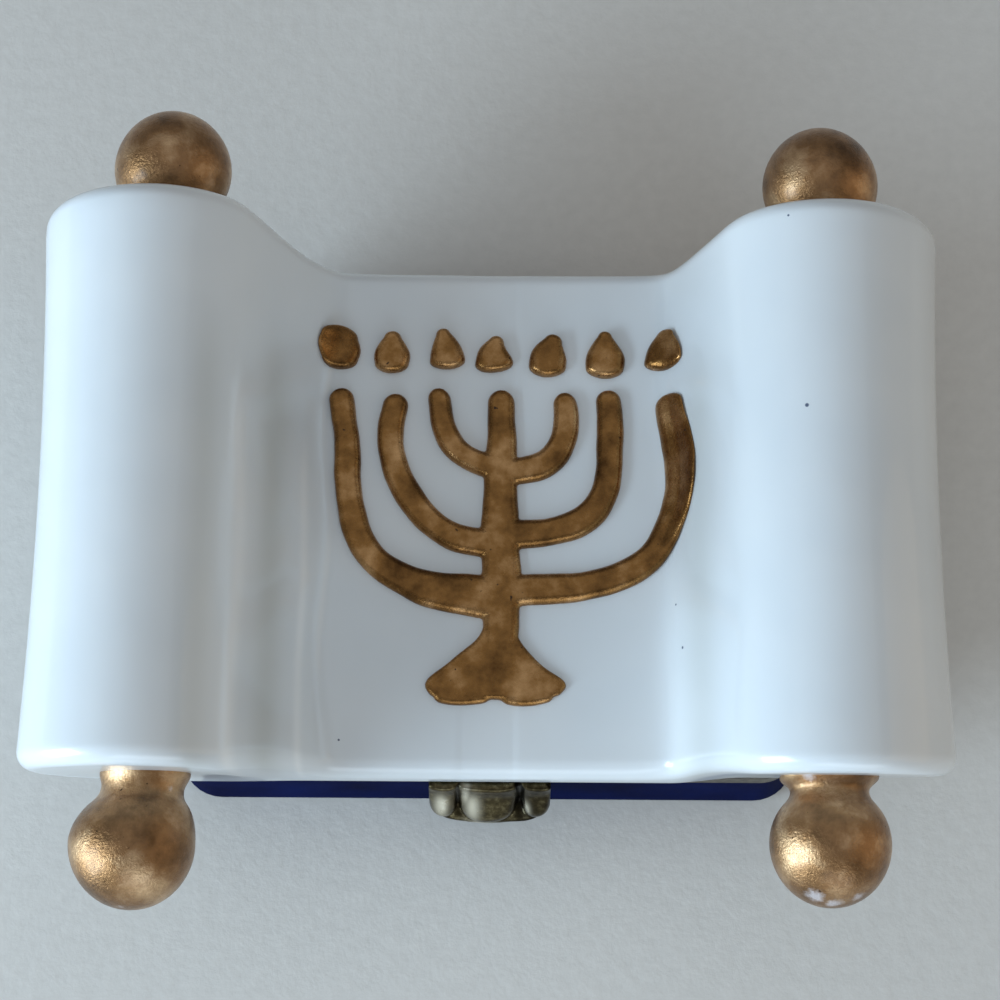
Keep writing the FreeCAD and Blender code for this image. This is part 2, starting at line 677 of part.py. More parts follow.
def make_clasp():
    body = new_body("clasp_plaque")
    back, plate = f"-{CLASP_BACK}", "Sizes.clasp_plate"
    front = f"({back} - {plate})"
    wide, middle = "(Sizes.clasp_width / 2)", "(Sizes.middle_lobe_width / 2)"
    side = f"({middle} + Sizes.lobe_groove)"
    side_half = f"(({wide} - {side}) / 2)"
    section = new_sketch(body, "ClaspSection", "XY_Plane", z=CLASP_TOP)
    outline(
        section,
        [
            (f"-{wide}", back),
            (f"-{wide}", front),
            (f"-{side}", front),
            (f"-{middle}", front),
            (middle, front),
            (side, front),
            (wide, front),
            (wide, back),
        ],
        {
            1: (bulge_radius(side_half, "Sizes.side_lobe_depth"), -1),
            3: (bulge_radius(middle, "Sizes.middle_lobe_depth"), -1),
            5: (bulge_radius(side_half, "Sizes.side_lobe_depth"), -1),
        },
    )
    pad(body, section, "Sizes.clasp_height", reverse=True)
    trim_clasp(body, wide)
    strap = new_sketch(body, "ClaspStrap", "XZ_Plane", z="Sizes.base_depth / 2")
    half, top = "Sizes.tab_width / 2", CLASP_TOP
    low = f"{top} - Sizes.tab_height"
    outline(strap, [(f"-{half}", low), (half, low), (half, top), (f"-{half}", top)])
    pad(body, strap, "Sizes.clasp_gap")
    groove = new_sketch(body, "StudGroove", "XZ_Plane", z=CLASP_BACK)
    half = "(Sizes.stud_radius + Sizes.stud_clearance)"
    high, bottom = f"{STUD_Z} + {half}", f"{CLASP_TOP} - Sizes.clasp_height"
    outline(groove, [(f"-{half}", bottom), (half, bottom), (half, high), (f"-{half}", high)])
    deep = "Sizes.stud_length - Sizes.clasp_gap + Sizes.stud_clearance"
    pocket(body, groove, deep, reverse=True)
    return body


def trim_clasp(body, wide):
    """Cuts the lower corners away, so that the clasp ends in one sweeping curve."""
    low = f"({CLASP_TOP} - Sizes.clasp_height)"
    side = f"({low} + Sizes.clasp_sweep)"
    sweep = bulge_radius(wide, "Sizes.clasp_sweep")
    under = f"({low} - Sizes.clasp_sweep)"
    corners = new_sketch(body, "ClaspSweep", "XZ_Plane", z=CLASP_BACK)
    outline(
        corners,
        [(f"-{wide}", side), (f"-{wide}", under), (wide, under), (wide, side)],
        {3: (sweep, 1)},
    )
    deep = "2 * (Sizes.clasp_plate + Sizes.middle_lobe_depth)"
    pocket(body, corners, deep, both_ways=True)


def make_stud():
    body = new_body("catch_stud")
    stud = new_sketch(body, "StudRound", "XZ_Plane", y=STUD_Z, z="Sizes.base_depth / 2")
    circle(stud, "Sizes.stud_radius")
    pad(body, stud, "Sizes.stud_length")
    tip = -number("Sizes.base_depth / 2 + Sizes.stud_length")
    round_edges(body, "StudTip", "Sizes.stud_radius / 2", lambda e: abs(e.BoundBox.YMax - tip) < NEAR)
    return body


def make_all():
    band_low = "(Sizes.base_height - Sizes.band_height)"
    band_top = f"({LID_SEAT} + Sizes.lid_band_height)"
    band_up = "Sizes.lid_band_height"
    pieces = [
        make_base(),
        make_rim("base_rim", band_low, RIM_TOP, band_low, "Sizes.band_height", True),
        make_base_knuckles(),
        make_pin(),
        make_stud(),
        make_lid(),
        make_rim("lid_rim", LID_RIM_LOW, band_top, band_top, band_up, False),
        make_lid_knuckle(),
        make_clasp(),
    ]
    for end in ("front", "back"):
        for side in ("left", "right"):
            pieces.append(make_finial(side, end))
    return pieces


def check(pieces):
    """Stops where any object of the document failed or a piece isn't one good solid."""
    doc.recompute()
    for thing in doc.Objects:
        if "Invalid" in thing.State or "Error" in thing.State:
            raise RuntimeError(f"{thing.Name} failed: {thing.State}")
    for piece in pieces:
        if piece.Shape.isNull() or not piece.Shape.isValid():
            raise RuntimeError(f"{piece.Label} has no good shape")


def export(pieces):
    os.makedirs("parts", exist_ok=True)
    for piece in pieces:
        piece.Shape.exportStep(f"parts/{piece.Label}.step")
        print(f"{piece.Label}: {len(piece.Shape.Solids)} solids, {piece.Shape.Volume:.1f} mm3")


all_pieces = make_all()
check(all_pieces)
export(all_pieces)
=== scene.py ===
"""Looks of a porcelain trinket box in the form of an open scroll.

The camera stands where the photograph was taken. The lid, its gilt relief, the finials, the clasp
and the base are shaped here; the rims, the hinge and the stud are the solids with their brass.
Lengths are millimetres unless they say otherwise, and meshes are scaled to metres as they are made.
"""

import math

import bmesh
import bpy
import numpy as np
from mathutils import Matrix


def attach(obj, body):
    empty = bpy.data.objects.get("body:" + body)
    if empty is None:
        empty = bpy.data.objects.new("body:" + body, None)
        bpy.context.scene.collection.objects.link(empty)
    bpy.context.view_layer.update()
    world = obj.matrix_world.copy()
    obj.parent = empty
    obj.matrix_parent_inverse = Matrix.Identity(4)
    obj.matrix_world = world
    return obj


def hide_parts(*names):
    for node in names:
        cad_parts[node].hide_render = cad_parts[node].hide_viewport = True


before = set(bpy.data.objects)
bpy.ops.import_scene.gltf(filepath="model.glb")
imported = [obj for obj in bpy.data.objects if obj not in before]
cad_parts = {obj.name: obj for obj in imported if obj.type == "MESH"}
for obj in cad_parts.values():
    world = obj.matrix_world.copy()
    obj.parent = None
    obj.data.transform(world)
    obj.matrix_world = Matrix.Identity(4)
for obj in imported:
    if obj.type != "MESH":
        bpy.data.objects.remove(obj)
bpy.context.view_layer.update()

MM = 0.001

# The scroll: the sheet between the rolls, and the rolls' axes
SHEET_TOP = 13.0
SHEET_UNDER = 10.3
SHEET_FRONT = -19.15
SHEET_BACK = 19.15
ROLL_AXIS = 18.6
ROLL_X = 24.1
ROLL_RADIUS = 8.2
ROLL_WAIST = 0.55

# The outline that base, rims and collar share
RIM_WIDTH = 45.6
RIM_DEPTH = 36.9
RIM_CORNER = 2.8

# The camera: what it looks at, how far away, tilted and turned, and its focal length
AIM_X = 0.8
AIM_Y = -0.35
DISTANCE = 172.0
TILT = math.radians(16.0)
TURN = math.radians(0.4)
LENS = 87.5
FOCAL_PIXELS = 2430.4
FRAME_MIDDLE = 500.0


# Camera and stage


def make_camera():
    """Stands in front of and above the box, looking down at the point between the rolls' axes."""
    camera = bpy.data.objects.new("camera", bpy.data.cameras.new("camera"))
    bpy.context.collection.objects.link(camera)
    place = (AIM_X, AIM_Y - DISTANCE * math.sin(TILT), ROLL_AXIS + DISTANCE * math.cos(TILT))
    turn = Matrix.Rotation(TILT, 4, "X") @ Matrix.Rotation(TURN, 4, "Z")
    camera.matrix_world = Matrix.Translation([p * MM for p in place]) @ turn
    camera.data.sensor_width = 36.0
    camera.data.lens = LENS
    camera.data.clip_start = 0.01
    bpy.context.scene.camera = camera


def linear(code):
    """A six-figure sRGB code as linear red, green, blue and full alpha."""
    parts = [int(code[i : i + 2], 16) / 255 for i in (0, 2, 4)]
    return [p / 12.92 if p <= 0.04045 else ((p + 0.055) / 1.055) ** 2.4 for p in parts] + [1.0]


LAMPS = [
    # name, place, height it shines on, sides, watts and colour
    ("window", (-340, -165, 115), 14, (230, 210), 2.05, "d0e8fb"),
    ("ceiling", (-40, 90, 480), 12, (800, 800), 0.72, "e9f1f8"),
    ("front_fill", (60, -420, 130), 12, (420, 200), 0.55, "dcebf8"),
    ("far_wall", (360, -40, 150), 14, (320, 300), 0.26, "d8c09a"),
]


def area_light(name, place, target_height, size, power, code):
    """A soft rectangular lamp that faces the box's middle at the given height."""
    data = bpy.data.lights.new(name, "AREA")
    data.shape = "RECTANGLE"
    data.size, data.size_y = size[0] * MM, size[1] * MM
    data.energy = power
    data.color = linear(code)[:3]
    lamp = bpy.data.objects.new(name, data)
    bpy.context.collection.objects.link(lamp)
    back = np.array(place, float) - (0.0, 0.0, target_height)
    back /= np.linalg.norm(back)
    side = np.cross((0.0, 1.0, 0.0), back)
    side /= np.linalg.norm(side)
    turn = Matrix(np.column_stack([side, np.cross(back, side), back]).tolist()).to_4x4()
    lamp.matrix_world = Matrix.Translation(np.array(place) * MM) @ turn


def make_stage():
    """A plain paper floor, four soft lamps and a dim grey room."""
    far = 1.2
    mesh = bpy.data.meshes.new("floor")
    corners = [(-far, -far, 0), (far, -far, 0), (far, far, 0), (-far, far, 0)]
    mesh.from_pydata(corners, [], [(0, 1, 2, 3)])
    floor = bpy.data.objects.new("floor", mesh)
    bpy.context.collection.objects.link(floor)
    floor.data.materials.append(floor_paper())
    world = bpy.data.worlds.new("studio")
    world.use_nodes = True
    fill(world.node_tree.nodes["Background"], {"Color": "c9ccd0", "Strength": 0.30})
    bpy.context.scene.world = world
    bpy.context.scene.view_settings.view_transform = "Standard"
    for lamp in LAMPS:
        area_light(*lamp)


# Materials


def fill(node, inputs):
    """Fills a node's inputs, by name or number, with sockets, values or colour codes."""
    pairs = inputs.items() if isinstance(inputs, dict) else enumerate(inputs)
    for name, value in pairs:
        if isinstance(value, bpy.types.NodeSocket):
            node.id_data.links.new(value, node.inputs[name])
        else:
            node.inputs[name].default_value = linear(value) if isinstance(value, str) else value


def add_node(tree, kind, inputs=(), out=0, stops=(), **settings):
    """Adds a node with its settings and links, and returns one of its outputs.

    Stops are a colour ramp's pairs of place and colour code.
    """
    node = tree.nodes.new("ShaderNode" + kind)
    for name, value in settings.items():
        setattr(node, name, value)
    fill(node, inputs)
    if stops:
        elements = node.color_ramp.elements
        while len(elements) < len(stops):
            elements.new(0.5)
        for element, (place, code) in zip(elements, stops):
            element.position = place
            element.color = linear(code)
    return node.outputs[out]


def new_material(name):
    """An empty material, its node tree, its shader and the object's own coordinates."""
    material = bpy.data.materials.new(name)
    material.use_nodes = True
    tree = material.node_tree
    return material, tree, tree.nodes["Principled BSDF"], add_node(tree, "TexCoord", out="Object")


def waves(size):
    """Waves per metre of a noise whose patches measure size millimetres."""
    return 1000.0 / size


def floor_paper():
    """Uncoated paper: matt, pale and warm, with a fibre of about a millimetre."""
    material, tree, shader, place = new_material("floor_paper")
    inputs = {"Vector": place, "Scale": waves(1.111), "Detail": 5.0, "Roughness": 0.6}
    fibre = add_node(tree, "TexNoise", inputs)
    colour = add_node(tree, "ValToRGB", {"Fac": fibre}, stops=[(0.3, "d9d6d0"), (0.7, "dfdcd6")])
    normal = add_node(tree, "Bump", {"Height": fibre, "Strength": 0.15, "Distance": 0.3 * MM})
    fill(shader, {"Base Color": colour, "Normal": normal, "Roughness": 0.85})
    return material


SPECKS = [
    # fine dark specks in the glaze: place in the photograph's frame, and size
    ((807, 401), 0.17),
    ((787, 211), 0.10),
    ((677, 602), 0.09),
    ((684, 645), 0.13),
    ((879, 756), 0.12),
    ((340, 740), 0.10),
]


def white_porcelain(name, specks=()):
    """Slip-cast porcelain under a clear glaze: cool white, glossy, with soft depth.

    The glaze is clouded over some 16 mm and waves over 8 mm, which bends its reflections. It has
    painted highlight streaks on its left slope, painted grey shade in its valleys, and a few fine dark
    specks.
    """
    material, tree, shader, place = new_material(name)
    inputs = {"Vector": place, "Scale": waves(16.667), "Detail": 3.0, "Roughness": 0.55}
    cloud = add_node(tree, "TexNoise", inputs)
    colour = add_node(tree, "ValToRGB", {"Fac": cloud}, stops=[(0.0, "d6dee3"), (1.0, "f0f3f3")])
    # the run share paints lighter highlight streaks, the second share paints grey shade in the valleys
    for attribute, code in (("run", "f6f9f9"), ("painted_valley_shade", "b3b6ae")):
        share = add_node(tree, "Attribute", out="Fac", attribute_name=attribute)
        colour = add_node(tree, "Mix", {0: share, 6: colour, 7: code}, 2, data_type="RGBA")
    for centre, size in specks:
        centre = [c * MM for c in centre]
        gap = add_node(tree, "VectorMath", [place, centre], "Value", operation="DISTANCE")
        speck = add_node(tree, "MapRange", [gap, 0.6 * size * MM, size * MM, 1.0, 0.0])
        colour = add_node(tree, "Mix", {0: speck, 6: colour, 7: "56637a"}, 2, data_type="RGBA")
    inputs = {"Vector": place, "Scale": waves(8.333), "Detail": 2.0, "Roughness": 0.45}
    wave = add_node(tree, "TexNoise", inputs)
    normal = add_node(tree, "Bump", {"Height": wave, "Strength": 0.22, "Distance": 0.4 * MM})
    fill(shader, {"Base Color": colour, "Normal": normal, "Roughness": 0.29, "IOR": 1.45})
    fill(shader, {"Subsurface Weight": 0.12, "Subsurface Scale": 1.2 * MM})
    fill(shader, {"Subsurface Radius": (1.0, 0.95, 0.85)})
    fill(shader, {"Coat Weight": 0.6, "Coat Roughness": 0.045})
    return material


def cobalt_porcelain():
    """Porcelain dipped in cobalt glaze: deep blue outside, plain white in the tray.

    The blue is a little lighter where the glaze runs thin, in patches of some 6 mm. The tray is
    all that lies inside the wall and above the floor's underside.
    """
    material, tree, shader, place = new_material("cobalt_porcelain")
    cloud = add_node(tree, "TexNoise", {"Vector": place, "Scale": waves(6.25), "Detail": 3.0})
    blue = add_node(tree, "ValToRGB", {"Fac": cloud}, stops=[(0.3, "03082a"), (0.7, "061343")])
    axes = add_node(tree, "SeparateXYZ", {"Vector": place}).node.outputs
    side = add_node(tree, "Math", {0: axes["X"]}, operation="ABSOLUTE")
    depth = add_node(tree, "Math", {0: axes["Y"]}, operation="ABSOLUTE")
    within_x = add_node(tree, "MapRange", [side, 20.63 * MM, 20.67 * MM, 1.0, 0.0])
    within_y = add_node(tree, "MapRange", [depth, 16.28 * MM, 16.32 * MM, 1.0, 0.0])
    above = add_node(tree, "MapRange", [axes["Z"], 2.0 * MM, 2.1 * MM, 0.0, 1.0])
    inside = add_node(tree, "Math", [within_x, within_y], operation="MULTIPLY")
    inside = add_node(tree, "Math", [inside, above], operation="MULTIPLY")
    colour = add_node(tree, "Mix", {0: inside, 6: blue, 7: "e6eaea"}, 2, data_type="RGBA")
    wave = add_node(tree, "TexNoise", {"Vector": place, "Scale": waves(3.846), "Detail": 2.0})
    normal = add_node(tree, "Bump", {"Height": wave, "Strength": 0.2, "Distance": 0.3 * MM})
    fill(shader, {"Base Color": colour, "Normal": normal, "Roughness": 0.25, "IOR": 1.3})
    fill(shader, {"Specular IOR Level": 0.0, "Coat Weight": 0.06, "Coat Roughness": 0.1})
    return material


def gilt(name, worn, tones, low_rough, grain_depth):
    """Gold lustre brushed over the glaze: coppery, cloudy over 3 mm, with a fired grain.

    The grain is drawn at 0.2 mm, coarser than it is, so that it shows. Small pits are dark. Where
    worn, the gold thins to the glaze at the marked spots, and a coat whitens its highlights.
    """
    material, tree, shader, place = new_material(name)
    inputs = {"Vector": place, "Scale": waves(3.03), "Detail": 5.0, "Roughness": 0.62}
    cloud = add_node(tree, "TexNoise", inputs)
    inputs = {"Vector": place, "Scale": waves(0.1923), "Detail": 3.0, "Roughness": 0.7}
    grain = add_node(tree, "TexNoise", inputs)
    pits = add_node(tree, "TexNoise", {"Vector": place, "Scale": waves(0.4348), "Detail": 1.0})
    colour = add_node(tree, "ValToRGB", {"Fac": cloud}, stops=list(zip((0.28, 0.5, 0.74), tones)))
    dark = add_node(tree, "MapRange", [pits, 0.76, 0.80, 0.0, 1.0])
    colour = add_node(tree, "Mix", {0: dark, 6: colour, 7: "3a2413"}, 2, data_type="RGBA")
    metal = add_node(tree, "MapRange", [dark, 0.0, 1.0, 1.0, 0.6])
    if worn:
        mask = add_node(tree, "Attribute", out="Fac", attribute_name="wear")
        inputs = {"Vector": place, "Scale": waves(0.5263), "Detail": 4.0, "Roughness": 0.75}
        ragged = add_node(tree, "Math", [mask, add_node(tree, "TexNoise", inputs)], operation="ADD")
        bare = add_node(tree, "MapRange", [ragged, 0.85, 1.25, 0.0, 0.8])
        colour = add_node(tree, "Mix", {0: bare, 6: colour, 7: "cfc8ca"}, 2, data_type="RGBA")
        metal = add_node(tree, "MapRange", [bare, 0.0, 1.0, 1.0, 0.0])
        fill(shader, {"Coat Weight": 0.3, "Coat Roughness": 0.24})
    rough = add_node(tree, "MapRange", [grain, 0.0, 1.0, low_rough, low_rough + 0.16])
    bumps = {"Height": grain, "Strength": grain_depth, "Distance": 0.1 * MM}
    fill(shader, {"Base Color": colour, "Metallic": metal, "Roughness": rough})
    fill(shader, {"Normal": add_node(tree, "Bump", bumps)})
    return material


def antique_brass():
    """Cast brass under a brown patina, darkened to near black in the clasp's grooves and by painted
    shade, and lightened by painted glints.

    The patina is mottled over half a millimetre, and smoother where it is lighter.
    """
    material, tree, shader, place = new_material("antique_brass")
    inputs = {"Vector": place, "Scale": waves(0.5), "Detail": 3.0, "Roughness": 0.65}
    cloud = add_node(tree, "TexNoise", inputs)
    tones = [(0.2, "2f2a1c"), (0.5, "554b34"), (0.8, "8a7f5f")]
    colour = add_node(tree, "ValToRGB", {"Fac": cloud}, stops=tones)
    # near black in the clasp's grooves and its painted shade, pale in its painted glints
    for attribute, code in (("grooves_and_painted_shade", "0c0a07"), ("painted_glint", "f3eeda")):
        share = add_node(tree, "Attribute", out="Fac", attribute_name=attribute)
        colour = add_node(tree, "Mix", {0: share, 6: colour, 7: code}, 2, data_type="RGBA")
    rough = add_node(tree, "MapRange", [cloud, 0.0, 1.0, 0.38, 0.22])
    normal = add_node(tree, "Bump", {"Height": cloud, "Strength": 0.2, "Distance": 0.15 * MM})
    fill(shader, {"Base Color": colour, "Roughness": rough, "Normal": normal, "Metallic": 1.0})
    return material


# Meshes from grids of points


def mesh_piece(name, points, faces, material):
    """A smooth mesh object from points in millimetres and lists of faces."""
    mesh = bpy.data.meshes.new(name)
    mesh.from_pydata((np.asarray(points) * MM).reshape(-1, 3).tolist(), [], faces)
    mesh.update()
    mesh.polygons.foreach_set("use_smooth", [True] * len(mesh.polygons))
    piece = bpy.data.objects.new(name, mesh)
    bpy.context.collection.objects.link(piece)
    piece.data.materials.append(material)
    return piece


def outward(piece, merge=False):
    """Turns every face of a closed mesh outwards, after its double points are merged if asked."""
    work = bmesh.new()
    work.from_mesh(piece.data)
    if merge:
        bmesh.ops.remove_doubles(work, verts=work.verts, dist=1e-7)
    bmesh.ops.recalc_face_normals(work, faces=work.faces)
    work.to_mesh(piece.data)
    work.free()


def points_of(piece):
    """A mesh's points as rows of x, y and z in millimetres."""
    flat = np.empty(len(piece.data.vertices) * 3)
    piece.data.vertices.foreach_get("co", flat)
    return flat.reshape(-1, 3) / MM


def store(piece, name, values):
    """Keeps one value a point under a name, for the materials to read."""
    attribute = piece.data.attributes.new(name, "FLOAT", "POINT")
    attribute.data.foreach_set("value", np.ravel(values))


def ring_faces(rows, cols):
    """Quads between rows of points, each row a closed ring."""
    index = np.arange(rows * cols).reshape(rows, cols)
    after = np.roll(index, -1, axis=1)
    quads = np.stack([index[:-1], after[:-1], after[1:], index[1:]], axis=-1)
    return quads.reshape(-1, 4).tolist()


def close_rings(name, rings, material):
    """Joins rings of points into a closed mesh, with a fan to the middle at each end."""
    rows, cols = rings.shape[:2]
    ends = np.stack([rings[0].mean(axis=0), rings[-1].mean(axis=0)])
    points = np.concatenate([rings.reshape(-1, 3), ends])
    first = np.arange(cols)
    last = first + (rows - 1) * cols
    faces = ring_faces(rows, cols)
    faces += np.stack([np.roll(first, -1), first, np.full(cols, rows * cols)], -1).tolist()
    faces += np.stack([last, np.roll(last, -1), np.full(cols, rows * cols + 1)], -1).tolist()
    piece = mesh_piece(name, points, faces, material)
    outward(piece)
    return piece


def rounded_loops(insets, heights, corners):
    """The rims' outline moved in by each inset, at each height, with each corner radius.

    A loop is a quarter circle about each corner's centre, and the sides are what joins them.
    """
    quarter = np.linspace(0, np.pi / 2, 9)
    angle = np.concatenate([quarter + corner * np.pi / 2 for corner in range(4)])
    side_x, side_y = np.repeat([1, -1, -1, 1], 9), np.repeat([1, 1, -1, -1], 9)
    inset, height, radius = (np.array(v, float)[:, None] for v in (insets, heights, corners))
    x = side_x * (RIM_WIDTH / 2 - inset - radius) + radius * np.cos(angle)
    y = side_y * (RIM_DEPTH / 2 - inset - radius) + radius * np.sin(angle)
    return np.stack([x, y, height + 0 * x], axis=-1)


def smoothstep(x, low, high):
    """Rises from 0 at low to 1 at high as three squares less two cubes of the share between."""
    t = np.clip((x - low) / (high - low), 0, 1)
    return t * t * (3 - 2 * t)


def soft_max(a, b, width):
    """The larger of two levels, rounded over a width where they cross."""
    return 0.5 * (a + b + np.sqrt((a - b) ** 2 + width**2))


# The lid


SIDES = {
    # side: sign of x, front end, back end, slope of the inner side, softness of the valley
    "left": (-1, -20.0, 20.6, 61.0, 1.7),
    "right": (1, -19.85, 19.8, 67.0, 2.3),
}


def roll_radius(y):
    """The radius at the ends less a waist that fades with the square of the way from the middle."""
    t = (y + 1.5) / 20.0
    return ROLL_RADIUS - ROLL_WAIST * (1 - np.clip(t * t, 0, 1))


def lid_top(x, y, inset_roll, inset_sheet):
    """Height of the lid's upper face: a roll's arc, a straight slope down from it, and the sheet.

    The slope leaves the arc where the arc has the slope's own angle. It meets the sheet in a
    valley whose softness is the width over which the two levels are blended. Two ridges of run
    glaze, bell curves across, lie on the left slope's foot and fade towards the back.
    """
    level = SHEET_TOP - inset_sheet + 0.05 * np.sin(0.16 * y + 0.9) * np.cos(0.11 * x)
    for sign, _, _, slope, soft in SIDES.values():
        radius = roll_radius(y) - inset_roll
        away = ROLL_X - sign * x
        bend = math.radians(slope) + 0.03 * np.sin(0.35 * y + sign)
        start = radius * np.sin(bend)
        arc = ROLL_AXIS + np.sqrt(np.clip(radius**2 - away**2, 0, None))
        line = ROLL_AXIS + radius * np.cos(bend) - (away - start) * np.tan(bend)
        top = np.where(away < start, arc, line)
        level = np.where(away < 22.0, soft_max(top, level, soft), level)
    ripple = 0.16 * np.exp(-(((x + 17.5 + 0.15 * np.sin(0.3 * y)) / 0.5) ** 2))
    ripple += 0.09 * np.exp(-(((x + 13.5 + 0.1 * np.sin(0.4 * y)) / 0.4) ** 2))
    return level + ripple * smoothstep(-y, -9.5, -5.5)


def on_lid(px, py):
    """The place on the lid's upper face that the camera sees at this point of its frame.

    The ray is cut with a level plane, the face's height there gives the next plane, and eight
    rounds settle it. The relief's crest lies 0.4 mm above the face.
    """
    c, s = math.cos(TILT), math.sin(TILT)
    v = FRAME_MIDDLE - py
    level = SHEET_TOP
    for _ in range(8):
        z = level + 0.4 - ROLL_AXIS
        y = (v * (DISTANCE - z * c) - FOCAL_PIXELS * z * s) / (FOCAL_PIXELS * c - v * s)
        depth = DISTANCE + y * s - z * c
        x = (px - FRAME_MIDDLE) * depth / FOCAL_PIXELS + AIM_X
        level = float(lid_top(x, y + AIM_Y, 0.0, 0.0))
    return x, y + AIM_Y


def lid_columns():
    """Columns across the lid, and the angle of those on a roll's outer quarter.

    They run up the left roll's outer quarter, along the section in equal steps from one roll's
    top to the other's, and down the right roll's quarter. Between the tops the angle is not a
    number.
    """
    fine = np.linspace(-ROLL_X, ROLL_X, 2401)
    height = lid_top(fine, np.zeros_like(fine), 0.0, 0.0)
    run = np.concatenate([[0], np.cumsum(np.hypot(np.diff(fine), np.diff(height)))])
    inner = np.interp(np.linspace(0, run[-1], 241), run, fine)[1:-1]
    quarter = np.linspace(0, np.pi / 2, 32)
    edge = np.full(len(quarter), ROLL_X)
    bend = np.concatenate([quarter, np.full(len(inner), np.nan), quarter[::-1]])
    return np.concatenate([-edge, inner, edge]), bend


def lid_rows(across):
    """Each column's places from front to back, and how far the section has shrunk there.

    The ends pass smoothly from the sheet's to the roll's. At both, a row moves on by one less the
    cosine and the section shrinks by one less the sine of a quarter turn, times the edge's radius.
    """
    onto_roll = smoothstep(np.abs(across), 13.0, 18.5)
    front, back = (np.where(across < 0, SIDES["left"][i], SIDES["right"][i]) for i in (1, 2))
    front = SHEET_FRONT + (front - SHEET_FRONT) * onto_roll
    back = SHEET_BACK + (back - SHEET_BACK) * onto_roll
    edge_front, edge_back = 1.3 + 0.1 * onto_roll, 1.2 + 0.2 * onto_roll
    turn = np.linspace(0, np.pi / 2, 12)[:, None]
    drawn_in, ahead = 1 - np.sin(turn), 1 - np.cos(turn)
    along = np.linspace(0, 1, 114)[1:-1, None]
    straight = front + edge_front + (back - front - edge_front - edge_back) * along
    y = np.concatenate([front + edge_front * ahead, straight, back - edge_back * ahead[::-1]])
    inset = np.concatenate([edge_front * drawn_in, 0 * straight, edge_back * drawn_in[::-1]])
    return y, inset


def lid_underside(x, y, radius, arc, inset):
    """Height of the lid's lower face: the rolls' lower arcs, and a flat sheet with a recess."""
    away = ROLL_X - np.abs(x)
    recess = smoothstep(-np.abs(x), -20.6, -20.35) * smoothstep(-np.abs(y), -16.25, -15.95)
    flat = SHEET_UNDER + inset * 0.4 + 0.7 * recess
    into_sheet = smoothstep(away, -2.5, 1.5)
    return np.where(
        away > radius * 0.6, flat, (ROLL_AXIS - arc) * (1 - into_sheet) + flat * into_sheet
    )


def lean(x, y, z):
    """The rolls' front ends moved out above the axis and in below it, more on the right roll."""
    amount = np.where(x < 0, 0.8, 1.2) * smoothstep(np.abs(x), 13.0, 18.5)
    return y - amount * smoothstep(-y, 8.0, 19.0) * (z - ROLL_AXIS) / ROLL_RADIUS


def lid_faces(rows, cols, count):
    """Quads round the skin, and each flat end as quads between its upper and lower columns."""
    across = np.arange(cols - 1)
    opposite, beyond = (2 * cols - 2 - across) % count, (2 * cols - 3 - across) % count
    front = np.stack([across, across + 1, beyond, opposite], -1)
    ends = np.concatenate([front, front + (rows - 1) * count]).tolist()
    return ring_faces(rows, count) + [list(dict.fromkeys(end)) for end in ends]


def make_lid():
    """The scroll as one closed skin: every row is a ring over the top and back below."""
    across, bend = lid_columns()
    y, inset = lid_rows(across)
    outer = ~np.isnan(bend)
    angle = np.where(outer, bend, 0)
    radius = roll_radius(y) - inset
    x = across + np.where(outer, np.sign(across) * radius * np.cos(angle), 0)
    crown = lid_top(across + 0 * y, y, inset, inset * 0.95)
    lift = (crown - ROLL_AXIS - radius) * np.sin(angle) ** 2
    top = np.where(outer, ROLL_AXIS + radius * np.sin(angle) + lift, crown)
    away = ROLL_X - np.abs(x)
    arc = np.where(outer, radius * np.sin(angle), np.sqrt(np.clip(radius**2 - away**2, 0, None)))
    low = lid_underside(x, y, radius, arc, inset)
    upper = np.stack([x, lean(x, y, top), top], -1)
    lower = np.stack([x, lean(x, y, low), low], -1)[:, ::-1][:, 1:-1]
    skin = np.concatenate([upper, lower], axis=1)
    specks = []
    for pixel, size in SPECKS:
        speck_x, speck_y = on_lid(*pixel)
        specks.append(((speck_x, speck_y, float(lid_top(speck_x, speck_y, 0.0, 0.0))), size))
    glaze = white_porcelain("white_porcelain", specks)
    lid = mesh_piece("scroll", skin, lid_faces(len(skin), len(across), skin.shape[1]), glaze)
    outward(lid)
    paint_streaks_and_valley_shade(lid)
    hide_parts("porcelain_lid")
    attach(lid, "lid")


def paint_streaks_and_valley_shade(lid):
    """Stores painted highlight streaks down the left slope, and painted grey shade in the valleys.

    Each streak and each band of shade is a bell curve across the lid that fades towards the back.
    """
    x, y, z = points_of(lid).T
    upper = z > 12.5
    broad = np.exp(-(((x + 17.3 + 0.15 * np.sin(0.3 * y)) / 0.42) ** 2))
    fine = np.exp(-(((x + 13.3 + 0.1 * np.sin(0.4 * y)) / 0.25) ** 2))
    # the run share: painted highlight streaks down the left slope
    run = 0.9 * broad * smoothstep(-y, -9.0, -3.0) + 0.8 * fine * smoothstep(-y, -6.5, -1.0)
    # painted shade: grey darkening on the slopes and valleys beside both rolls, fading towards the back
    painted_valley_shade = 0.45 * np.exp(-(((x + 15.3) / 0.9) ** 2)) + 0.3 * np.exp(-((x + 19.5) ** 2))
    painted_valley_shade = (painted_valley_shade + 0.35 * np.exp(-((x - 15.0) ** 2))) * smoothstep(-y, -14.0, -6.0)
    store(lid, "run", np.clip(run * upper, 0, 1))
    store(lid, "painted_valley_shade", np.clip(painted_valley_shade * upper, 0, 1))


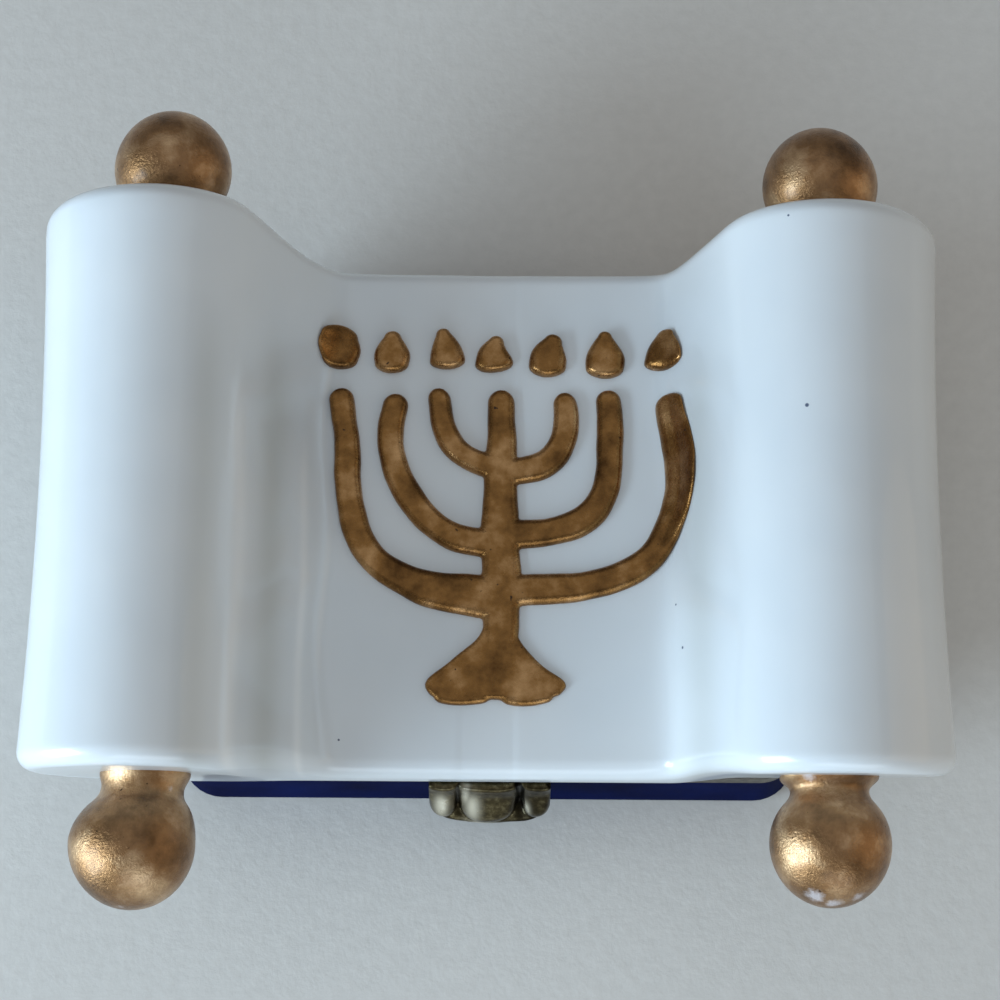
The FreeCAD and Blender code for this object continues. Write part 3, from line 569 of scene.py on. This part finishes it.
def make_collar():
    """The lid's collar inside its rim: rounded loops at the corners of a small closed section."""
    section = [(0.5, 9.45), (0.5, 10.5), (2.2, 10.5), (2.2, 9.45), (2.05, 9.3), (0.65, 9.3)]
    insets, heights = np.array(section + section[:1]).T
    rings = rounded_loops(insets, heights, np.maximum(RIM_CORNER - insets, 0.4))
    glaze = white_porcelain("inner_glaze")
    collar = mesh_piece("lid_collar", rings, ring_faces(*rings.shape[:2]), glaze)
    outward(collar, merge=True)
    collar.data.set_sharp_from_angle(angle=math.radians(50))
    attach(collar, "lid")


# The gilt relief: lines by points of the photograph's frame, with their widths in its pixels


PIXEL = 0.0735
ARMS = [
    (
        [(341, 400), (346, 440), (349, 496), (359, 536), (374, 558), (398, 576), (434, 589), (492, 596)],
        [25, 26, 27, 28, 29, 31, 38, 44],
    ),
    (
        [(394, 405), (390, 440), (395, 468), (410, 496), (429, 520), (456, 536), (494, 543)],
        [26, 27, 27, 28, 28, 29, 30],
    ),
    ([(439, 399), (441, 418), (448, 437), (460, 452), (492, 465)], [24, 24, 24, 24, 25]),
    ([(564, 403), (566, 425), (559, 447), (545, 462), (508, 471)], [24, 26, 27, 28, 28]),
    (
        [(608, 400), (610, 440), (607, 480), (597, 506), (575, 523), (545, 531), (508, 533)],
        [26, 27, 27, 28, 29, 29, 30],
    ),
    (
        [(668, 403), (672, 425), (680, 470), (675, 505), (662, 540), (643, 562), (612, 578), (560, 587),
         (508, 590)],
        [25, 27, 27, 27, 27, 28, 29, 30, 34],
    ),
    ([(501, 402), (501, 450), (500, 520), (502, 590), (501, 640)], [27, 31, 37, 39, 35]),
]
FLAMES = [
    ([(339, 360), (339, 350), (339, 338)], [36, 42, 36]),
    ([(391, 364), (391, 354), (391, 338)], [34, 36, 18]),
    ([(446, 360), (445, 350), (442, 334)], [36, 33, 15]),
    ([(493, 362), (493, 353), (496, 341)], [40, 34, 16]),
    ([(547, 366), (548, 354), (552, 340)], [38, 36, 19]),
    ([(604, 367), (604, 355), (604, 336)], [38, 39, 15]),
    ([(661, 360), (662, 349), (664, 334)], [36, 32, 16]),
]
FOOT = [
    (
        [(500, 620), (499, 640), (498, 655), (497.3, 670), (497, 684), (497, 694)],
        [30, 44, 74, 110, 139, 128],
    ),
]
TOES = [
    ([(444, 691), (462, 694), (482, 692)], [22, 22, 22]),
    ([(510, 692), (530, 694), (546, 691)], [22, 22, 22]),
]
STROKES = [
    # lines, and their height, end lengths as shares of the half width, bluntness and dip
    (ARMS, 0.8, (0.95, 0.95), 0.85, 0.12),
    (FLAMES, 0.85, (0.5, 0.7), 0.75, 0.0),
    (FOOT, 0.6, (1.0, 0.08), 0.5, 0.0),
    (TOES, 0.55, (0.9, 0.9), 0.7, 0.0),
]


def smooth_through(run, values, at):
    """Values of a natural cubic spline through the given ones, from its second derivatives."""
    n = len(run)
    gaps = np.diff(run)
    inner = np.arange(1, n - 1)
    matrix, right = np.eye(n), np.zeros(n)
    matrix[inner, inner - 1] = gaps[:-1]
    matrix[inner, inner] = 2 * (gaps[:-1] + gaps[1:])
    matrix[inner, inner + 1] = gaps[1:]
    right[1:-1] = 6 * np.diff(np.diff(values) / gaps)
    bent = np.linalg.solve(matrix, right)
    i = np.clip(np.searchsorted(run, at) - 1, 0, n - 2)
    left, ahead, gap = at - run[i], run[i + 1] - at, gaps[i]
    return (
        bent[i] * ahead**3 / (6 * gap)
        + bent[i + 1] * left**3 / (6 * gap)
        + (values[i] / gap - bent[i] * gap / 6) * ahead
        + (values[i + 1] / gap - bent[i + 1] * gap / 6) * left
    )


def stroke(path, widths, height, ends, blunt, dip):
    """Rings of a flat round ridge along a smooth line, with a width at each point of its path.

    The line is a natural spline through the points. Each ring is an ellipse whose sides are made
    steeper by the power blunt, with a dip along its crest. At both ends the rings shrink by the
    sine of a quarter turn, over a stretch given as a share of the half width.
    """
    points = np.array(path, float)
    run = np.concatenate([[0], np.cumsum(np.linalg.norm(np.diff(points, axis=0), axis=1))])
    at = np.linspace(0, run[-1], max(12, int(run[-1] / 0.2)))
    line = np.stack([smooth_through(run, points[:, i], at) for i in (0, 1)], -1)
    half = smooth_through(run, np.array(widths, float), at) / 2
    ahead = np.gradient(line, axis=0)
    ahead /= np.linalg.norm(ahead, axis=1)[:, None]
    turn = np.linspace(0.08, np.pi / 2, 9)[:-1]
    first = line[0] - ahead[0] * (half[0] * ends[0] * np.cos(turn))[:, None]
    last = (line[-1] + ahead[-1] * (half[-1] * ends[1] * np.cos(turn))[:, None])[::-1]
    centres = np.concatenate([first, line, last])
    ahead = np.concatenate([np.repeat(ahead[:1], 8, 0), ahead, np.repeat(ahead[-1:], 8, 0)])
    share = np.concatenate([np.sin(turn), np.ones(len(line)), np.sin(turn)[::-1]])
    half = np.concatenate([np.full(8, half[0]), half, np.full(8, half[-1])]) * share
    side = np.stack([-ahead[:, 1], ahead[:, 0]], -1)
    angle = np.linspace(0, 2 * np.pi, 24, endpoint=False)
    across = np.sign(np.cos(angle)) * np.abs(np.cos(angle)) ** blunt
    rise = np.sign(np.sin(angle)) * np.abs(np.sin(angle)) ** blunt * height
    rise = rise - dip * np.exp(-((across / 0.35) ** 2))
    flat = centres[:, None] + side[:, None] * (half[:, None] * across)[..., None]
    z = lid_top(flat[..., 0], flat[..., 1], 0.0, 0.0) + np.sqrt(share)[:, None] * rise
    return np.concatenate([flat, z[..., None]], axis=-1)


def make_relief():
    """The seven-branched candelabrum as one skin: ridges, flames and foot run into each other."""
    gold = gilt("relief_gilt", False, ("573b20", "946a3c", "cfa270"), 0.2, 0.3)
    pieces = []
    for lines, *form in STROKES:
        for points, widths in lines:
            rings = stroke([on_lid(*point) for point in points], np.array(widths) * PIXEL, *form)
            pieces.append(close_rings(f"part{len(pieces)}", rings, gold))
    relief = pieces[0]
    relief.name = "relief"
    with bpy.context.temp_override(
        active_object=relief, selected_objects=pieces, selected_editable_objects=pieces
    ):
        bpy.ops.object.join()
    melt(relief, 0.085, 9)
    shake(relief)
    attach(relief, "lid")


def melt(piece, grain, rounds):
    """Runs overlapping closed forms into one skin, with faces of about grain millimetres."""
    remesh = piece.modifiers.new("melt", "REMESH")
    remesh.mode = "VOXEL"
    remesh.voxel_size = grain * MM
    remesh.use_smooth_shade = True
    smooth = piece.modifiers.new("smooth", "SMOOTH")
    smooth.factor = 0.5
    smooth.iterations = rounds
    thin = piece.modifiers.new("thin", "DECIMATE")
    thin.ratio = 0.5
    graph = bpy.context.evaluated_depsgraph_get()
    mesh = bpy.data.meshes.new_from_object(piece.evaluated_get(graph))
    piece.modifiers.clear()
    piece.data = mesh


def shake(piece):
    """Makes the outlines waver as a brush does: each way a long and a short sine of the other."""
    p = points_of(piece)
    x, y = p[:, 0].copy(), p[:, 1].copy()
    p[:, 0] += 0.04 * np.sin(1.3 * y + 0.5 * x) + 0.012 * np.sin(3.1 * y + 1.3)
    p[:, 1] += 0.04 * np.sin(1.2 * x - 0.6 * y + 0.4) + 0.012 * np.sin(2.7 * x)
    piece.data.vertices.foreach_set("co", (p * MM).ravel())
    piece.data.update()


# Finials


FINIALS = {
    # name: x, sign of y, end of the roll, reach of the ball's centre, radii of ball, neck and
    # flare, and how far the neck stands to the right of the ball
    "finial_front_left": (-24.1, -1, 20.1, 4.85, 4.3, 2.85, 0.25, 0.75),
    "finial_front_right": (23.45, -1, 20.0, 4.6, 4.15, 2.55, 0.85, 0.05),
    "finial_back_left": (-23.4, 1, 20.6, 4.1, 4.3, 2.7, 0.2, 0.0),
    "finial_back_right": (24.1, 1, 19.8, 3.95, 4.2, 2.7, 0.2, 0.0),
}
WEAR = {
    # spots where the gold is rubbed through or the glaze has run over it: centre and size
    "finial_front_right": [
        ((22.0, -28.4, 20.2), 0.75),
        ((25.0, -28.2, 20.0), 0.5),
        ((23.4, -28.6, 19.7), 0.6),
        ((21.75, -20.35, 21.3), 0.5),
    ],
    "finial_front_left": [
        ((-24.5, -28.9, 19.5), 0.35),
        ((-26.6, -21.2, 20.3), 0.35),
        ((-21.6, -21.3, 20.2), 0.35),
    ],
}


def finial_profile(reach, ball, neck, flare):
    """Places along the axis and radii, from inside the roll over the neck and round the ball.

    The ball is an arc. The neck is a cubic that starts level at its own radius and meets the arc
    at the arc's slope, with a bell curve of flare where it leaves the roll.
    """
    start = 0.84
    angle = np.linspace(start, math.pi - 0.03, 60)
    y, r = reach - ball * np.cos(angle), ball * np.sin(angle)
    low = np.linspace(-0.7, y[0], 20)[:-1]
    share = np.clip((low - 0.1) / (y[0] - 0.1), 0, 1)
    slope = (y[0] - 0.1) / math.tan(start)
    throat = neck + (3 * share**2 - 2 * share**3) * (r[0] - neck) + (share**3 - share**2) * slope
    throat = throat + flare * np.exp(-((low / 0.6) ** 2))
    return np.concatenate([low, y]), np.concatenate([throat, r])


def dented(rings, reach, seed):
    """Moves points out from the ball's middle by slow sines of their direction, as fingers would."""
    away = rings - np.array([0, reach, 0])
    unit = away / np.linalg.norm(away, axis=-1, keepdims=True)
    x, y, z = np.moveaxis(unit, -1, 0)
    wave = np.sin(2.1 * x + seed) * np.cos(1.7 * y - seed)
    wave = wave + 0.6 * np.sin(2.6 * z + 1.3 * seed + 1.1 * x)
    hold = smoothstep(rings[..., 1], 0.3, 2.5)
    return rings + unit * (0.07 * wave * hold)[..., None]


def wear_marks(piece, spots):
    """Stores how worn each point is: 1 at a spot's centre, falling evenly to 0 around it."""
    wear = np.zeros(len(piece.data.vertices))
    for spot, size in spots:
        gap = np.linalg.norm(points_of(piece) - np.array(spot), axis=1)
        wear = np.maximum(wear, np.clip(1 - gap / (1.8 * size), 0, 1))
    store(piece, "wear", wear)


def make_finials():
    """Each profile turned about the roll's axis, dented, and moved aside near the neck."""
    gold = gilt("finial_gilt", True, ("664a2e", "9e7750", "dab68c"), 0.28, 0.6)
    turn = np.linspace(0, 2 * np.pi, 120, endpoint=False)
    for name, (x, end, roll_end, reach, ball, neck, flare, aside) in FINIALS.items():
        y, r = (line[:, None] for line in finial_profile(reach, ball, neck, flare))
        rings = np.stack([r * np.cos(turn), y + 0 * turn, r * np.sin(turn)], axis=-1)
        rings = dented(rings, reach, 0.13 * x + 1.7 * end)
        rings[..., 0] += x + aside * (1 - smoothstep(rings[..., 1], -0.5, reach))
        rings[..., 1] = end * (rings[..., 1] + roll_end)
        rings[..., 2] += ROLL_AXIS
        piece = close_rings(name + "_turned", rings, gold)
        wear_marks(piece, WEAR.get(name, []))
        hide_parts(name)
        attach(piece, "lid")


# Clasp


CLASP_HALF = 4.4
CLASP_TOP = 10.1
CLASP_LOW = 4.1
CLASP_BACK = -18.8
CLASP_ARC = 1.1
CLASP_RIGHT = 0.2
LOBES_DEEPEST = 0.62
PAINTED_GLINTS = [
    # painted glints on the clasp: place across and share of the way down, and their half sizes
    (-3.55, 0.42, 0.5, 0.2),
    (-1.25, 0.4, 0.5, 0.22),
    (-1.75, 0.2, 0.3, 0.2),
    (2.65, 0.5, 0.28, 0.12),
    (-0.6, 0.82, 0.9, 0.05),
]


def clasp_lobes(across):
    """Depth of the three lobes: blunted half ellipses, a wide one between two narrow ones."""
    middle = 1.85 * np.sqrt(np.clip(1 - ((across + 0.15) / 2.15) ** 2, 0, 1)) ** 0.8
    beside = 1.5 * np.sqrt(np.clip(1 - ((np.abs(across) - 3.4) / 1.05) ** 2, 0, 1)) ** 0.8
    lobes = np.pad(np.maximum(middle, beside), 1, mode="edge")
    return np.convolve(lobes, np.ones(3) / 3, mode="valid")


def clasp_shade(across, t, lobes):
    """Darker in the grooves, with painted shade below and to the right, and painted glints at the listed
    spots.
    """
    groove = np.clip(1.45 - lobes / 0.7, 0, 1) * (1 - smoothstep(t, 0.6, 0.78))
    # painted shade on the lower lip and towards the right side, added to the darker grooves
    grooves_and_painted_shade = groove + 0.75 * smoothstep(t, 0.7, 0.88)
    grooves_and_painted_shade = np.clip(grooves_and_painted_shade + 0.45 * smoothstep(across, -0.8, 3.0), 0, 1)
    painted_glint = 0 * grooves_and_painted_shade
    # painted glints: bright bell-shaped spots at the listed places
    for at, level, width, height in PAINTED_GLINTS:
        spot = np.exp(-(((across - at) / width) ** 2) - ((t - level) / height) ** 2)
        painted_glint = np.maximum(painted_glint, spot)
    return grooves_and_painted_shade, painted_glint


def make_clasp():
    """Three upright lobes on a plate, soft at every edge, with a groove behind for the stud.

    Rows run down the clasp and columns across it, first over the front and back over the rear.
    The lobes grow from the top down, are deepest two thirds of the way, and round in under, onto
    a lip. The lower edge is a shallow arc. Strips between front and rear close the ends.
    """
    count = 141
    across = CLASP_HALF * np.sin(np.linspace(-np.pi / 2, np.pi / 2, count))
    lobes = clasp_lobes(across)
    down = [np.linspace(0, 0.06, 7), np.linspace(0.1, 0.9, 41), np.linspace(0.94, 1, 7)]
    t = np.concatenate(down)[:, None]
    near_edge = np.clip(1 - np.minimum(t, 1 - t) / 0.06, 0, 1)
    soft = 0.3 * (1 - np.sqrt(1 - near_edge**2))
    growing = 0.3 + 0.7 * smoothstep(t, 0.22, LOBES_DEEPEST)
    closing = np.cos(1.15 * (t - LOBES_DEEPEST) / (1 - LOBES_DEEPEST))
    swell = np.where(t < LOBES_DEEPEST, growing, closing)
    z = CLASP_TOP - (CLASP_TOP - CLASP_LOW - CLASP_ARC * (across / CLASP_HALF) ** 2) * t
    plate = 0.45 + 0.3 * smoothstep(t, 0.0, 0.4)
    reach = 2.45 - 0.3 * (across / CLASP_HALF) ** 2 - 1.2 * (across / CLASP_HALF) ** 8
    lip = smoothstep(t, 0.58, 0.8) * reach * np.cos(0.7 * np.clip(t - 0.8, 0, 1) / 0.2)
    depth = np.maximum(plate + lobes * swell, lip)
    front = CLASP_BACK - depth + soft + 0.025 * np.sin(2.2 * z + 1.7 * across)
    groove = 0.4 * smoothstep(-np.abs(across), -0.95, -0.7) * smoothstep(-z, -8.4, -8.0)
    rear = CLASP_BACK - groove
    front = np.minimum(front, rear - 0.15)
    x = across * (1 - soft / CLASP_HALF) + CLASP_RIGHT
    front, rear = np.stack([x, front, z], -1), np.stack([x, rear, z], -1)
    rings = np.concatenate([front, rear[:, ::-1]], axis=1)
    step = np.arange(count - 1)
    strips = np.stack([step, step + 1, 2 * count - 2 - step, 2 * count - 1 - step], -1)
    strips = np.concatenate([strips, strips + (len(t) - 1) * 2 * count]).tolist()
    brass = antique_brass()
    clasp = mesh_piece("clasp", rings, ring_faces(*rings.shape[:2]) + strips, brass)
    # the front carries the darker grooves, the painted shade and the painted glints; the rear none
    for name, shade in zip(("grooves_and_painted_shade", "painted_glint"), clasp_shade(across, t, lobes)):
        store(clasp, name, np.concatenate([shade, 0 * shade], axis=1))
    corners = [(x, y, z) for x in (-1.5, 1.5) for y in (-18.95, -18.45) for z in (9.2, CLASP_TOP)]
    sides = [(0, 1, 3, 2), (4, 6, 7, 5), (0, 4, 5, 1), (2, 3, 7, 6), (0, 2, 6, 4), (1, 5, 7, 3)]
    strap = mesh_piece("clasp_strap", corners, sides, brass)
    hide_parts("clasp_plaque")
    for piece in (clasp, strap):
        outward(piece)
        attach(piece, "lid")


# Base, rims and hinge


def make_base():
    """The tray as rounded loops, from the recessed foot up the wall and down again to its floor.

    Each loop is the base's outline moved in by an amount at a height. The wall spreads towards
    the foot by 0.35 mm, with the power of one and a half of the way down.
    """
    turn = np.linspace(0, np.pi / 2, 8)
    share = np.linspace(0, 1, 14)[1:]
    foot = np.stack([0.55 - 0.9 * np.sin(turn), 0.9 - 0.9 * np.cos(turn)], -1)
    wall = np.stack([-0.35 * (1 - share) ** 1.5, 0.9 + 5.9 * share], -1)
    floor = np.stack([3.2 - np.cos(turn), 3.4 - np.sin(turn)], -1)
    under = [(4.0, 0.5), (3.8, 0.4), (3.7, 0.05), (3.6, 0.0)]
    lip = [(0.08, 6.85), (0.5, 6.86), (0.52, 8.1), (0.6, 8.2), (2.1, 8.2), (2.2, 8.1)]
    insets, heights = np.concatenate([under, foot, wall, lip, floor]).T
    rings = rounded_loops(insets, heights, np.maximum(RIM_CORNER - 0.8 * insets, 0.5))
    base = close_rings("base_tray", rings, cobalt_porcelain())
    base.data.set_sharp_from_angle(angle=math.radians(50))
    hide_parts("porcelain_base")
    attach(base, "base")


def dress_solids():
    """Gives the solids that stay in view their brass."""
    brass = antique_brass()
    rims = ("base_rim", "lid_rim")
    hinge = ("base_hinge_knuckles", "lid_hinge_knuckle", "hinge_pin")
    for name in (*rims, *hinge, "catch_stud"):
        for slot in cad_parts[name].material_slots:
            slot.material = brass


make_camera()
make_stage()
make_base()
make_lid()
make_collar()
make_relief()
make_finials()
make_clasp()
dress_solids()
